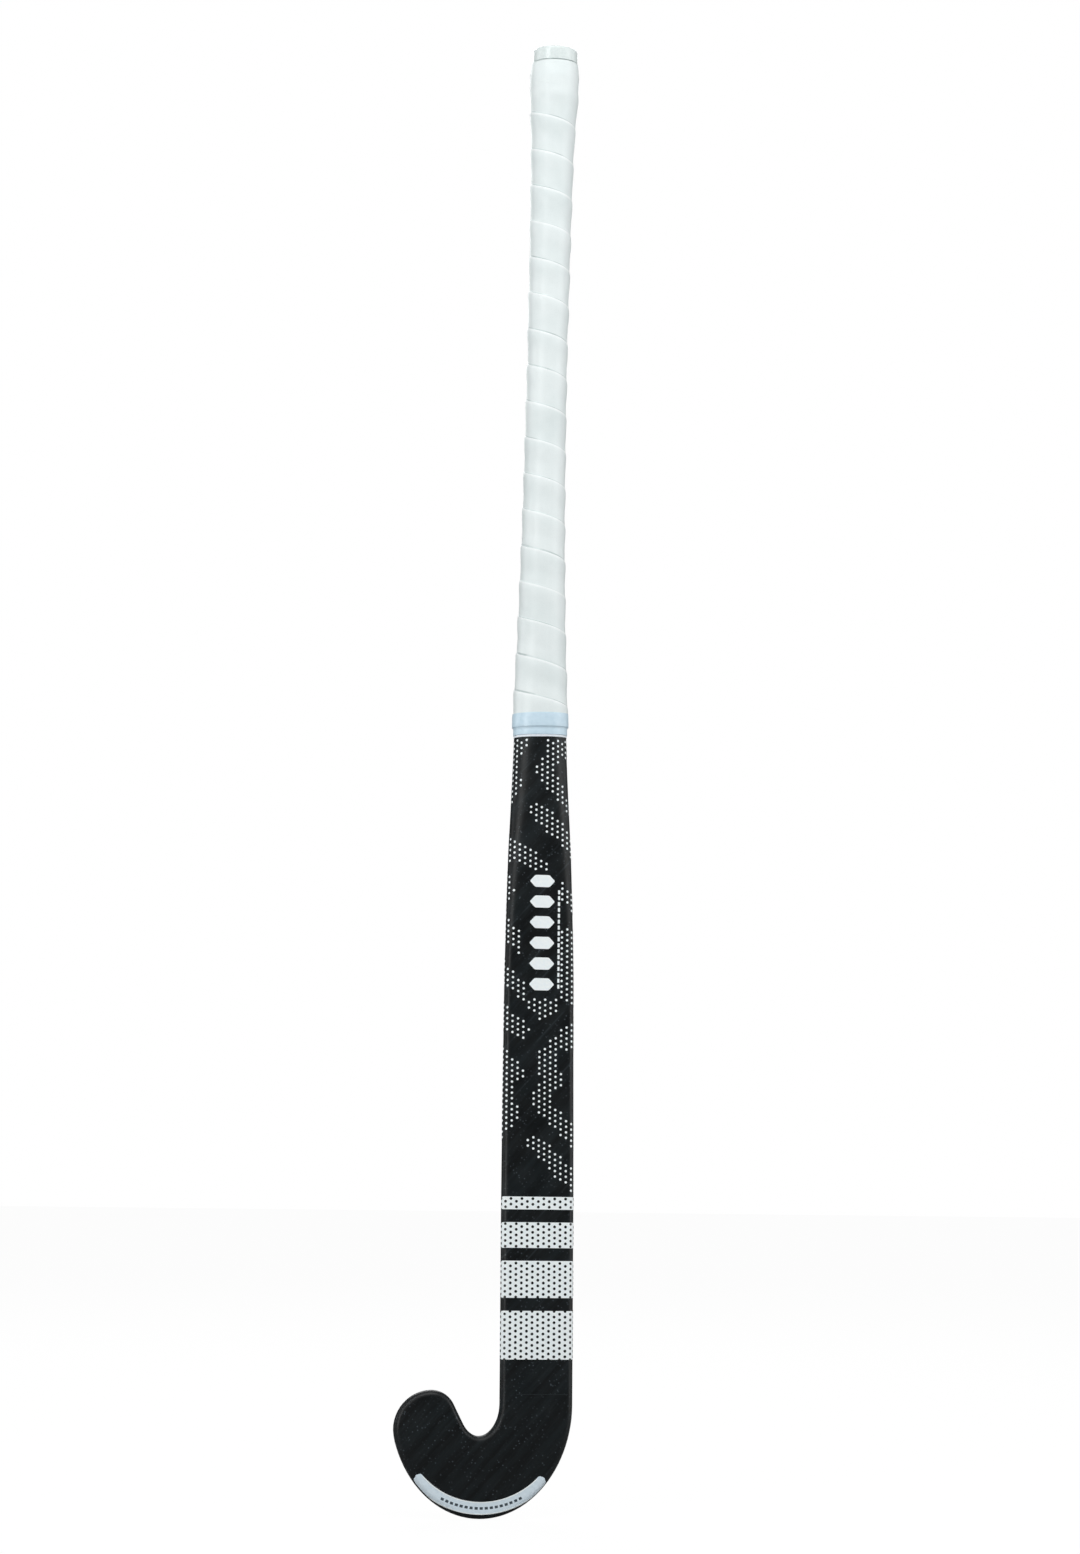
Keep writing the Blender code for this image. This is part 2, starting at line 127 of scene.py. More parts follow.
# Where the dots are printed: outlines as (mm round the body from the middle of the face, height).
DOTTED = (
    ((-30, 498), (-9, 498), (-9.6, 488), (-13.3, 482), (-17, 477), (-17, 470), (-10.5, 467), (-10.5, 463),
     (-17, 456), (-20, 452), (-30, 446)),
    ((0.9, 498), (24, 498), (30, 490), (30, 480), (14.6, 481), (10.7, 477), (8, 474), (11, 470), (14, 464),
     (17, 457), (30, 446), (30, 434), (16, 447), (11, 452), (7, 457), (3.5, 460), (-3, 467), (-7, 472),
     (-3, 477), (1, 483)),
    ((-7, 448), (-3.3, 452.5), (1, 451), (15, 436.5), (30, 421), (30, 407), (14, 422.5), (-3, 438),
     (-7, 443)),
    ((-30, 433), (-17, 427.5), (-10, 424.5), (5, 410.5), (11, 403), (30, 386), (30, 371), (12, 390),
     (-3, 405.5), (-10, 408.5), (-17, 413.5), (-21, 410), (-30, 415)),
    ((-30, 411), (-21, 403), (-17, 396), (-17, 391), (-21, 387), (-30, 381)),
    ((-30, 385), (-21, 376.5), (-10.5, 364.5), (-10.5, 350), (-21, 359), (-30, 366)),
    ((13.5, 371), (30, 371), (30, 314), (18, 321.5), (13.5, 326)),
    ((-30, 354), (-21, 345), (-10.5, 336), (2, 324.5), (11, 329), (14, 333), (14, 317), (11, 315), (2, 309.5),
     (-10.5, 322), (-21, 331), (-30, 339)),
    ((-30, 327), (-17, 315), (-9.5, 309), (-6, 303), (-9.5, 297), (-14.5, 300), (-21, 302), (-30, 305)),
    ((30, 318), (15, 306.5), (7, 298.5), (-3, 288), (-3, 279), (1.5, 274), (-6, 260.5), (1.5, 249.5),
     (15, 235.5), (30, 224), (30, 240), (19, 249), (9, 257), (9, 265), (15.7, 268), (15.7, 277.5),
     (11, 282.5), (11, 290), (20, 292), (30, 290)),
    ((-30, 299), (-17, 287), (-9.5, 280), (-9.5, 273.5), (-17, 268.5), (-17, 260), (-10, 252), (-13, 246),
     (-20.5, 239), (-30, 231)),
    ((-7, 236), (-3, 238), (1, 236), (12, 227), (30, 209), (30, 195), (15, 207.5), (8, 214), (-3, 226.5),
     (-7, 229.5)),
    # Round the sides and the back.
    ((30, 490), (38, 484), (46, 492), (53, 492), (53, 480), (44, 470), (30, 480)),
    ((-52, 478), (-40, 466), (-30, 470), (-30, 446), (-38, 446), (-52, 460)),
    ((30, 446), (44, 430), (53, 424), (53, 410), (44, 416), (30, 434)),
    ((-52, 452), (-30, 433), (-30, 415), (-52, 436)),
    ((30, 421), (53, 398), (53, 384), (30, 407)),
    ((-52, 428), (-30, 411), (-30, 397), (-52, 414)),
    ((30, 386), (53, 362), (53, 346), (30, 371)),
    ((-52, 404), (-30, 385), (-30, 366), (-52, 388)),
    ((30, 352), (42, 340), (53, 328), (53, 312), (42, 322), (30, 332)),
    ((-52, 372), (-30, 354), (-30, 339), (-52, 358)),
    ((30, 318), (53, 296), (53, 280), (30, 302)),
    ((-52, 344), (-30, 327), (-30, 312), (-52, 330)),
    ((-52, 316), (-30, 299), (-30, 285), (-52, 302)),
    ((30, 276), (53, 254), (53, 240), (30, 262)),
    ((30, 240), (53, 218), (53, 204), (30, 224)),
    ((-52, 262), (-30, 245), (-30, 231), (-52, 248)),
)

# Patterns of the finishes
FIBRE_ANGLE, FIBRE_STRETCH = 48.0, 14.0  # degrees the fibres slant, and how much longer than wide a streak is
FIBRE_BAND, FIBRE_THREAD = 7.0, 1.2  # mm, width of a soft streak and of a thread (drawn coarser than a fibre)
FIBRE_LINE, WAVE_TURN = 12.5, 0.314  # mm between fine stray fibres; a wave texture's length at scale 1, in m
FIBRE_PATCH, FIBRE_FADE = 22.0, 60.0  # mm, patches where stray fibres show, and how they fade in above the head
SPECK_SPACING, SPECK_PATCH = 2.2, 9.0  # mm between places where a speck may show, and patches with more of them
GLOSS_CLOUD, ORANGE_PEEL = 14.0, 1.6  # mm, the lacquer's cloudiness and its orange peel
PORE = 0.9  # mm, pores of the grip tape, drawn about twice their size so that they show
HANDLED, SHADE_PATCH, TAPE_CREASE = 30.0, 16.0, 5.0  # mm, patches greyed by hands, patches over which the painted seam shade comes and goes, and creases

# Studio
ROOM_LIGHT = 0.09  # strength of the room that the lacquer reflects
SWEEP_EVEN, SWEEP_GLOW = 0.9, 1.08  # how much the white sweep is lit evenly, as seen, and how brightly
CAMERA_AIM, CAMERA_AWAY, CAMERA_LENS, SENSOR = (-0.0001, 0.0, -0.2319), 1.94, 69.17, 36  # m, m, mm, mm
CAMERA_ROUND, CAMERA_UP, CAMERA_ROLL = -8.69, -6.5, 0.91  # degrees
FLOOR_SIZE, FLOOR_GAP = 12, 0.0005  # m
# Name, degrees round from the front, degrees up, m away, m wide, m tall, watts.
SOFTBOXES = (
    ("left_softbox", -46, 8, 1.5, 0.4, 1.8, 12),
    ("left_edge_softbox", -98, 6, 1.6, 0.6, 1.8, 6),
    ("right_softbox", 62, 12, 1.6, 0.6, 1.8, 11),
    ("right_edge_softbox", 98, 10, 1.6, 0.6, 1.8, 5),
    ("front_top_softbox", -4, 52, 1.9, 1.6, 1.0, 21),
    ("back_softbox", 180, 38, 1.9, 1.6, 1.2, 26),
)


def between(table, z, column=1):
    """The value of a table's column at height z."""
    return float(np.interp(z, [row[0] for row in table], [row[column] for row in table]))


BODY_Z = np.arange(HEAD_TOP - 4, LENGTH + 6, 1.0)
SOFTEN = 11  # mm to each side over which a table's kinks are softened


def eased(values):
    """A table's column, read every millimetre, with its kinks softened."""
    window = np.hanning(2 * SOFTEN + 1)
    padded = np.pad(values, SOFTEN, mode="edge")
    return np.convolve(padded, window / window.sum(), mode="valid")


SMOOTH_WIDTH = eased(np.array([between(BODY, z, 1) for z in BODY_Z]))
SMOOTH_THICK = eased(np.array([between(BODY, z, 2) for z in BODY_Z]))


def width(z):
    return float(np.interp(z, BODY_Z, SMOOTH_WIDTH))


def thickness(z):
    return float(np.interp(z, BODY_Z, SMOOTH_THICK))


def ease(z, low, high):
    """0 below low, 1 above high, smooth between them."""
    t = min(max((z - low) / (high - low), 0.0), 1.0)
    return t * t * (3 - 2 * t)


def bow_depth(z):
    s = min(max((z - BOW_START) / (LENGTH - BOW_START), 0.0), 1.0)
    return BOW * sin(pi * s**BOW_SKEW)


def bow(x, y, z):
    """A point of the straight stick carried onto the bowed one, in metres."""
    level = min(z, LENGTH - 1)
    slope = bow_depth(level + 0.5) - bow_depth(level - 0.5)
    tilt = atan(slope)
    depth = bow_depth(level) + slope * (z - level)
    return Vector((x, depth + y * cos(tilt), z - y * sin(tilt))) * MM


HOLD = bow(0, between(BODY, GRIP_HOLD, 2) / 2, GRIP_HOLD)


def place(x, y, z):
    """A point of the straight stick in mm, in the frame."""
    return bow(x, y, z) - HOLD


# ---------------------------------------------------------------- shape of the body


def section(z, extra=0.0, round_steps=6, flat_steps=6, dome_steps=16):
    """A ring round the body at height z, extra mm bigger all round: (x, y), anticlockwise seen from above."""
    half = width(z) / 2 + extra
    thick = thickness(z) + 2 * extra
    turn = ease(z, ROUND_FROM, ROUND_TO)
    reach = max(FRONT_RADIUS + extra, LEAST_RADIUS)
    corner = reach + (half - FLAT_KEPT - reach) * turn
    edge = reach + (thick / 2 - reach) * turn
    quarter = [pi / 2 * k / round_steps for k in range(round_steps + 1)]
    ring = [(-half + corner * (1 - cos(a)), edge * (1 - sin(a)) - extra) for a in quarter]
    flat = half - corner
    ring += [(-flat + 2 * flat * k / flat_steps, -extra) for k in range(1, flat_steps)]
    ring += [(half - corner * (1 - cos(a)), edge * (1 - sin(a)) - extra) for a in quarter[::-1]]
    back = [pi * k / (2 * dome_steps) for k in range(1, 2 * dome_steps)]
    return ring + [(half * cos(a), edge + (thick - edge) * sin(a) - extra) for a in back]


def arc(cx, cz, rx, rz, start, end, steps):
    """Points on an elliptical arc, angles in degrees."""
    angles = [radians(start + (end - start) * k / steps) for k in range(steps + 1)]
    return [(cx + rx * cos(a), cz + rz * sin(a)) for a in angles]


def outline():
    """The head's whole outline as one path, from the shaft's notch side round the toe to its heel side."""
    inner = arc(*NOTCH, 0, -TURN, 60) + arc(*TOE_INNER, TOE_INNER[2], TOE_LINE_END, TOE_TIP, 30)
    outer = arc(*TOE, TOE[2], TOE_TIP, TOE_START, 40) + arc(*HEEL, -HEEL_END, 0, 100)
    high = 3 * HEAD_TOP
    return np.array([(NOTCH[0] + NOTCH[2], high)] + inner + outer + [(HEEL[0] + HEEL[2], high)])


RIM = outline()


def depth_in(x, z):
    """How far a point of the head lies from its outline, in mm."""
    a, b = RIM[:-1], RIM[1:]
    t = np.clip(((np.array((x, z)) - a) * (b - a)).sum(1) / ((b - a) ** 2).sum(1), 0, 1)
    away = a + (b - a) * t[:, None] - (x, z)
    return float(np.sqrt((away**2).sum(1)).min())


def along(path, fraction):
    """The point at a fraction of a path's length."""
    steps = [hypot(b[0] - a[0], b[1] - a[1]) for a, b in zip(path, path[1:])]
    left = fraction * sum(steps)
    for a, b, step in zip(path, path[1:], steps):
        if left <= step:
            return a[0] + (b[0] - a[0]) * left / step, a[1] + (b[1] - a[1]) * left / step
        left -= step
    return path[-1]


def head_sides(hook_steps=40, toe_steps=26):
    """Matching points on the notch side and the heel side of the head, from the shaft to the toe."""
    pairs = list(zip(arc(*NOTCH, 0, -TURN, hook_steps), arc(*HEEL, 0, -TURN, hook_steps)))
    inner = [pairs[-1][0]] + arc(*TOE_INNER, TOE_INNER[2], TOE_LINE_END, TOE_TIP, 40)
    outer = arc(*HEEL, -TURN, -HEEL_END, 12) + arc(*TOE, TOE[2], TOE_START, TOE_TIP, 60)
    steps = [1 - (1 - k / toe_steps) ** TOE_CROWD for k in range(1, toe_steps)]
    return pairs + [(along(inner, step), along(outer, step)) for step in steps]


def head_ring(inner, outer, round_steps=6, flat_steps=6, dome_steps=16):
    """A ring across the head's strip, matching section() point for point."""
    span = hypot(outer[0] - inner[0], outer[1] - inner[1])
    across = ((outer[0] - inner[0]) / span, (outer[1] - inner[1]) / span)
    middle = ((inner[0] + outer[0]) / 2, (inner[1] + outer[1]) / 2)
    half = span / 2
    radius = FRONT_RADIUS
    room = BODY[0][2] - radius
    corner = min(radius, half * 0.6)
    flat = half - corner
    quarter = [pi / 2 * k / round_steps for k in range(round_steps + 1)]
    side = [-half + corner * (1 - cos(a)) for a in quarter]
    face = side + [-flat + 2 * flat * k / flat_steps for k in range(1, flat_steps)] + [-f for f in side[::-1]]
    back = [half * cos(pi * k / (2 * dome_steps)) for k in range(1, 2 * dome_steps)]
    ring = []
    for number, offset in enumerate(face + back):
        x, z = middle[0] + across[0] * offset, middle[1] + across[1] * offset
        inside = max(min(half - abs(offset), depth_in(x, z)), 0.0)
        if number < len(face):
            y = radius - sqrt(radius**2 - max(radius - inside, 0.0) ** 2)
        else:
            y = radius + room * sqrt(1 - max(1 - inside / (BODY[0][1] / 2), 0.0) ** 2)
        ring.append((x, y, z))
    return ring


# ---------------------------------------------------------------- making and shaping meshes


def select_none():
    for other in bpy.context.selected_objects:
        other.select_set(False)


def active_mesh(piece):
    """The mesh of a piece in edit mode, after an operator has changed it."""
    mesh = bmesh.from_edit_mesh(piece.data)
    mesh.verts.ensure_lookup_table()
    return mesh


def reshape(piece, move):
    """Moves each vertex of a piece from its flat or straight place, in mm, to where move() puts it."""
    for vert in piece.data.vertices:
        vert.co = move(*(vert.co / MM))
    piece.data.update()
    return piece


def turn_faces_out(piece):
    bpy.context.view_layer.objects.active = piece
    piece.select_set(True)
    bpy.ops.object.mode_set(mode="EDIT")
    bpy.ops.mesh.select_all(action="SELECT")
    bpy.ops.mesh.normals_make_consistent(inside=False)
    bpy.ops.object.mode_set(mode="OBJECT")


def finish_piece(piece, name, surface, replaced=(), angle=40, outwards=True):
    """Names a piece, turns its faces outwards, smooths it, gives it its material and rides it on the frame."""
    select_none()
    piece.name = piece.data.name = name
    bpy.context.view_layer.objects.active = piece
    piece.select_set(True)
    if outwards:
        turn_faces_out(piece)
    bpy.ops.object.shade_smooth_by_angle(angle=radians(angle))
    piece.data.materials.clear()
    piece.data.materials.append(surface)
    select_none()
    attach(piece, "root")
    if replaced:
        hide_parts(*replaced)
    return piece


def pull_rings(rings, closed_ends=True):
    """A tube through rings of points: a circle laid on the first ring, then its edge drawn out by an
    edit mode extrude to each next ring. A closed tube has a face on each end."""
    select_none()
    bpy.ops.mesh.primitive_circle_add(vertices=len(rings[0]), radius=MM)
    piece = bpy.context.object
    bpy.ops.object.mode_set(mode="EDIT")
    for vert, point in zip(active_mesh(piece).verts, rings[0]):
        vert.co = Vector(point) * MM
    for ring in rings[1:]:
        bpy.ops.mesh.extrude_region_move(TRANSFORM_OT_translate={"value": (0, 0, MM)})
        drawn = [vert for vert in active_mesh(piece).verts if vert.select]
        for vert, point in zip(drawn, ring):
            vert.co = Vector(point) * MM
    if closed_ends:
        bpy.ops.mesh.edge_face_add()
        bpy.ops.mesh.select_all(action="DESELECT")
        bpy.ops.mesh.select_mode(type="VERT")
        bpy.ops.mesh.select_non_manifold()
        bpy.ops.mesh.edge_face_add()
    bpy.ops.object.mode_set(mode="OBJECT")
    return piece


def thicken(piece, thick, offset=-1.0):
    """Gives an open skin its thickness in mm, with the Solidify modifier applied."""
    bpy.context.view_layer.objects.active = piece
    wall = piece.modifiers.new("wall", "SOLIDIFY")
    wall.thickness = thick * MM
    wall.offset = offset
    bpy.ops.object.modifier_apply(modifier=wall.name)
    return piece


SKIN_STEPS = (12, 8, 24)  # points round an edge, across the face and over half the back


@lru_cache(maxsize=None)
def skin_path(z, extra):
    """The body's outside at height z as lengths round it from the middle of the face, with their x and y."""
    ring = section(z, extra, *SKIN_STEPS)
    middle = SKIN_STEPS[0] + SKIN_STEPS[1] // 2
    path = np.array(ring[middle:] + ring[: middle + 1])
    lengths = np.concatenate([[0.0], np.cumsum(np.hypot(*(path[1:] - path[:-1]).T))])
    return lengths, path


def on_body(s, depth, z):
    """A point of a flat print, s mm round the body from the middle of the face, laid on the bowed stick."""
    if z < HEAD_STRAIGHT:
        rounding = FRONT_RADIUS - min(depth_in(s, z), FRONT_RADIUS)
        return place(s, FRONT_RADIUS - sqrt(FRONT_RADIUS**2 - rounding**2) + depth, z)
    lengths, path = skin_path(round(z * 4) / 4, round(-depth, 2))
    s = s % lengths[-1]
    return place(float(np.interp(s, lengths, path[:, 0])), float(np.interp(s, lengths, path[:, 1])), z)


def grow(z):
    return between(GRIP_GROW, z)


def ring_at(z, extra=0.0):
    return [(x, y, z) for x, y in section(z, extra)]


# ---------------------------------------------------------------- materials


def linear(hex_colour):
    levels = [int(hex_colour[i : i + 2], 16) / 255 for i in (0, 2, 4)]
    return (*(c / 12.92 if c <= 0.04045 else ((c + 0.055) / 1.055) ** 2.4 for c in levels), 1)


def per_mm(size):
    """The scale of a texture on Object coordinates whose pattern repeats about every size mm."""
    return 1000 / size


def add(tree, kind, output=0, **settings):
    """Adds a node and gives one of its outputs. A setting is a property, an input's name, or an input's number
    after an underscore; its value is a plain one, or another node's output to link."""
    node = tree.nodes.new("ShaderNode" + kind)
    for key, value in settings.items():
        if hasattr(node, key):
            setattr(node, key, value)
            continue
        socket = node.inputs[int(key[1:]) if key[0] == "_" else key.replace("_", " ")]
        if isinstance(value, bpy.types.NodeSocket):
            tree.links.new(value, socket)
        else:
            socket.default_value = value
    return node.outputs[output]


def new_surface(name, colour, roughness, **sockets):
    """A material with a Principled shader, and the parts that its pattern is joined to."""
    surface = bpy.data.materials.new(name)
    surface.use_nodes = True
    tree = surface.node_tree
    shader = tree.nodes["Principled BSDF"]
    shader.inputs["Base Color"].default_value = linear(colour)
    shader.inputs["Roughness"].default_value = roughness
    for key, value in sockets.items():
        shader.inputs[key.replace("_", " ")].default_value = value
    return surface, tree, shader


# On a Mix node of colours input 0 is the share, 6 and 7 are the two colours, and output 2 is what comes out.


def grained(name, colour, second, size, roughness, bump_mm, rough_swing=0.05, **sockets):
    """A surface whose colour, gloss and height all vary with one grain, size mm across."""
    surface, tree, shader = new_surface(name, colour, roughness, **sockets)
    where = add(tree, "TexCoord", "Object")
    grain = add(tree, "TexNoise", Vector=where, Scale=per_mm(size), Detail=3.0)
    share = add(tree, "MapRange", Value=grain, From_Min=0.3, From_Max=0.7)
    tone = add(tree, "Mix", 2, data_type="RGBA", _0=share, _6=linear(colour), _7=linear(second))
    tree.links.new(tone, shader.inputs["Base Color"])
    cloud = add(tree, "TexNoise", Vector=where, Scale=per_mm(size * 3))
    low, high = roughness - rough_swing, roughness + rough_swing
    gloss = add(tree, "MapRange", Value=cloud, From_Min=0.3, From_Max=0.7, To_Min=low, To_Max=high)
    tree.links.new(gloss, shader.inputs["Roughness"])
    bump = add(tree, "Bump", Strength=1.0, Distance=bump_mm * MM, Height=grain)
    tree.links.new(bump, shader.inputs["Normal"])
    return surface


def carbon_laminate():
    """Carbon and glass fibre laminate, pressed in a mould and lacquered satin: near black, with slanting fibre
    streaks under the lacquer and a few pale specks of resin."""
    surface, tree, shader = new_surface("lacquered_carbon_laminate", "0A0D0E", 0.4, IOR=1.38)
    where = add(tree, "TexCoord", "Object")
    slant, stretch = (0, -radians(FIBRE_ANGLE), 0), (FIBRE_STRETCH, 1, 1)
    turned = add(tree, "Mapping", vector_type="TEXTURE", Vector=where, Rotation=slant, Scale=stretch)

    # Soft streaks, and thinner threads over them.
    streaks = add(tree, "TexNoise", Vector=turned, Scale=per_mm(FIBRE_BAND), Detail=4.0, Roughness=0.6)
    share = add(tree, "MapRange", Value=streaks, From_Min=0.42, From_Max=0.72)
    body = add(tree, "Mix", 2, data_type="RGBA", _0=share, _6=linear("05090B"), _7=linear("151D20"))
    threads = add(tree, "TexNoise", Vector=turned, Scale=per_mm(FIBRE_THREAD), Detail=1.0)
    share = add(tree, "MapRange", Value=threads, From_Min=0.5, From_Max=0.8, To_Max=0.35)
    body = add(tree, "Mix", 2, data_type="RGBA", _0=share, _6=body, _7=linear("22282B"))

    # Fine stray fibres, broken up, and on the shaft only.
    wave = WAVE_TURN / (FIBRE_LINE * MM)
    lines = add(tree, "TexWave", "Fac", bands_direction="Z", Vector=turned, Scale=wave, Distortion=0.6)
    fine = add(tree, "MapRange", Value=lines, From_Min=0.975, From_Max=1.0)
    patches = add(tree, "TexNoise", Vector=where, Scale=per_mm(FIBRE_PATCH))
    broken = add(tree, "MapRange", Value=patches, From_Min=0.46, From_Max=0.62, To_Max=0.5)
    height = add(tree, "SeparateXYZ", "Z", _0=where)
    low, high = HEAD_TOP * MM - HOLD.z, (HEAD_TOP + FIBRE_FADE) * MM - HOLD.z
    on_shaft = add(tree, "MapRange", Value=height, From_Min=low, From_Max=high)
    broken = add(tree, "Math", operation="MULTIPLY", _0=broken, _1=on_shaft)
    drawn = add(tree, "Math", operation="MULTIPLY", _0=broken, _1=fine)
    body = add(tree, "Mix", 2, data_type="RGBA", _0=drawn, _6=body, _7=linear("30383C"))

    # Specks of resin, more of them in some places than in others.
    specks = add(tree, "TexVoronoi", Vector=where, Scale=per_mm(SPECK_SPACING))
    near = add(tree, "MapRange", Value=specks, From_Min=0.14, From_Max=0.26, To_Min=0.5, To_Max=0)
    places = add(tree, "TexNoise", Vector=where, Scale=per_mm(SPECK_PATCH))
    chance = add(tree, "MapRange", Value=places, From_Min=0.42, From_Max=0.62, To_Min=0.1)
    shown = add(tree, "Math", operation="MULTIPLY", _0=chance, _1=near)
    body = add(tree, "Mix", 2, data_type="RGBA", _0=shown, _6=body, _7=linear("566067"))
    tree.links.new(body, shader.inputs["Base Color"])

    # The lacquer's gloss and its height: a cloudy satin with a faint orange peel over the streaks.
    cloud = add(tree, "TexNoise", Vector=where, Scale=per_mm(GLOSS_CLOUD))
    cloudy = add(tree, "MapRange", Value=cloud, From_Min=0.3, From_Max=0.7, To_Min=0.34, To_Max=0.44)
    streaky = add(tree, "MapRange", Value=streaks, From_Min=0.3, From_Max=0.7, To_Max=0.06)
    gloss = add(tree, "Math", operation="ADD", _0=cloudy, _1=streaky)
    tree.links.new(gloss, shader.inputs["Roughness"])
    ripple = add(tree, "Bump", Strength=1.0, Distance=0.03 * MM, Height=streaks)
    orange_peel = add(tree, "TexNoise", Vector=where, Scale=per_mm(ORANGE_PEEL), Detail=1.0)
    peel = add(tree, "Bump", Strength=1.0, Distance=0.006 * MM, Height=orange_peel, Normal=ripple)
    tree.links.new(peel, shader.inputs["Normal"])
    return surface


def polyurethane_grip():
    """Polyurethane grip tape, a soft foamed skin pressed with a fine pore: cool white, tacky and dull, a touch
    greyer where it has been handled, with painted shade in the pores and beside each lap, and a painted
    highlight along each lap's edge."""
    surface, tree, shader = new_surface("polyurethane_grip_tape", "EAF3F3", 0.45, IOR=1.5)
    where = add(tree, "TexCoord", "Object")

    # Handling, and pores darkened with painted shade.
    handled = add(tree, "TexNoise", Vector=where, Scale=per_mm(HANDLED), Detail=3.0)
    share = add(tree, "MapRange", Value=handled, From_Min=0.4, From_Max=0.75)
    tone = add(tree, "Mix", 2, data_type="RGBA", _0=share, _6=linear("EDF5F5"), _7=linear("E0EAEA"))
    # Painted shade: each pore's pit is greyed; the bump below also sinks it.
    pores = add(tree, "TexVoronoi", Vector=where, Scale=per_mm(PORE))
    share = add(tree, "MapRange", Value=pores, From_Min=0.0, From_Max=0.35, To_Min=0.25, To_Max=0)
    tone = add(tree, "Mix", 2, data_type="RGBA", _0=share, _6=tone, _7=linear("CBD6D7"))

    # Painted shade beside each lap, where its step would shade the tape, broken into patches; and a painted
    # highlight along the lap's own edge.
    across = add(tree, "Attribute", "Fac", attribute_name="across_tape")
    swing = add(tree, "MapRange", Value=handled, From_Min=0.3, From_Max=0.7, To_Min=-0.25, To_Max=0.25)
    wander = add(tree, "Math", operation="ADD", _0=across, _1=swing)
    low, high = LAP + SEAM_SHADE * 0.4, LAP + SEAM_SHADE
    beside = add(tree, "MapRange", Value=wander, From_Min=low, From_Max=high, To_Min=1, To_Max=0)
    patches = add(tree, "TexNoise", Vector=where, Scale=per_mm(SHADE_PATCH))
    shade_patches = add(tree, "MapRange", Value=patches, From_Min=0.4, From_Max=0.6, To_Min=0.25)
    # The painted seam shade, made stronger or weaker in patches.
    seam_shade = add(tree, "Math", operation="MULTIPLY", _0=beside, _1=shade_patches)
    tone = add(tree, "Mix", 2, data_type="RGBA", _0=seam_shade, _6=tone, _7=linear("BCC7C7"))
    # A painted highlight along the upper edge of each turn, where it steps over the turn above.
    low, high = TURN_PITCH + LAP - 1.8, TURN_PITCH + LAP - 0.3
    seam_highlight = add(tree, "MapRange", Value=wander, From_Min=low, From_Max=high, To_Max=0.8)
    tone = add(tree, "Mix", 2, data_type="RGBA", _0=seam_highlight, _6=tone, _7=linear("FAFFFF"))
    tree.links.new(tone, shader.inputs["Base Color"])

    # Gloss and height: creases from the winding, and pits at the pores.
    gloss = add(tree, "MapRange", Value=handled, From_Min=0.3, From_Max=0.7, To_Min=0.38, To_Max=0.5)
    tree.links.new(gloss, shader.inputs["Roughness"])
    creases = add(tree, "TexNoise", Vector=where, Scale=per_mm(TAPE_CREASE), Detail=3.0)
    fold = add(tree, "Bump", Strength=1.0, Distance=0.06 * MM, Height=creases)
    pitted = add(tree, "Bump", Strength=0.5, Distance=0.03 * MM, Height=pores, Normal=fold)
    tree.links.new(pitted, shader.inputs["Normal"])
    return surface


carbon = carbon_laminate()
grip = polyurethane_grip()
# Injection moulded thermoplastic rubber: smooth, off-white, a soft shine with a faint mould texture.
cap_rubber = grained("moulded_white_cap_rubber", "E6EFEE", "DCE6E5", 1.4, 0.24, 0.012)
# Printed polypropylene finishing tape: pale blue, glossy, faint drag lines from being pulled tight.
blue_tape = grained("pale_blue_polypropylene_tape", "D3E9F6", "CAE2F0", 2.6, 0.32, 0.02)
# A thin white band just below the blue tape: white, and duller than the blue face.
tape_edge = grained("white_tape_edge", "F0F6FC", "E2EBF4", 2.0, 0.4, 0.02)
# Screen printed ink under the lacquer: bright cool white, satin, the laminate's texture just telling through.
white_ink = grained("white_screen_print_ink", "F9FFFF", "F1FAFD", 1.6, 0.42, 0.008)
black_ink = grained("black_screen_print_ink", "040607", "0A0D0E", 1.6, 0.42, 0.006)
# Screen printed ink again, a pale grey-blue: a touch glossier than the white.
stripe_ink = grained("pale_grey_blue_print_ink", "E4F2FB", "DAEAF4", 2.4, 0.36, 0.008)
# Screen printed slate ink over the stripe: dull and dark, so that the small marks stand out.
mark_ink = grained("slate_print_ink", "46525B", "3A454D", 1.0, 0.4, 0.005)
# The rim where the lacquer film was cut: a hairline that catches the light.
film_rim = grained("lacquer_film_rim", "15191B", "20262A", 3.0, 0.34, 0.01)
# What fills the tube: closed-cell foams with visible cells, a moulded plug, and a knitted foam underlay.
head_foam = grained("syntactic_head_foam", "8F8369", "776C55", 0.8, 0.85, 0.2)
handle_foam = grained("cast_polyurethane_foam", "DCD3AD", "C4BA92", 1.1, 0.9, 0.25)
plug_plastic = grained("moulded_nylon_plug", "2B2D30", "383B3F", 1.2, 0.55, 0.05)
cushion = grained("foam_underlay_wrap", "CDD1CF", "B8BDBB", 0.9, 0.85, 0.15)

for node, surface in (
    ("head_core", head_foam),
    ("handle_foam", handle_foam),
    ("butt_plug", plug_plastic),
    ("cushion_wrap", cushion),
):
    for material_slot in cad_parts[node].material_slots:
        material_slot.material = surface

# ---------------------------------------------------------------- shaft and head

RING_GAP = 4.0  # mm between the rings of the shaft
rings = [head_ring(*pair) for pair in head_sides()][::-1]
steps = int((TUBE_TOP - HEAD_TOP) / RING_GAP)
rings += [ring_at(HEAD_TOP + (TUBE_TOP - HEAD_TOP) * k / steps) for k in range(steps + 1)]
body = reshape(pull_rings(rings), place)
finish_piece(body, "shaft_and_head", carbon, ["outer_shell"], angle=55)

# ---------------------------------------------------------------- wound grip

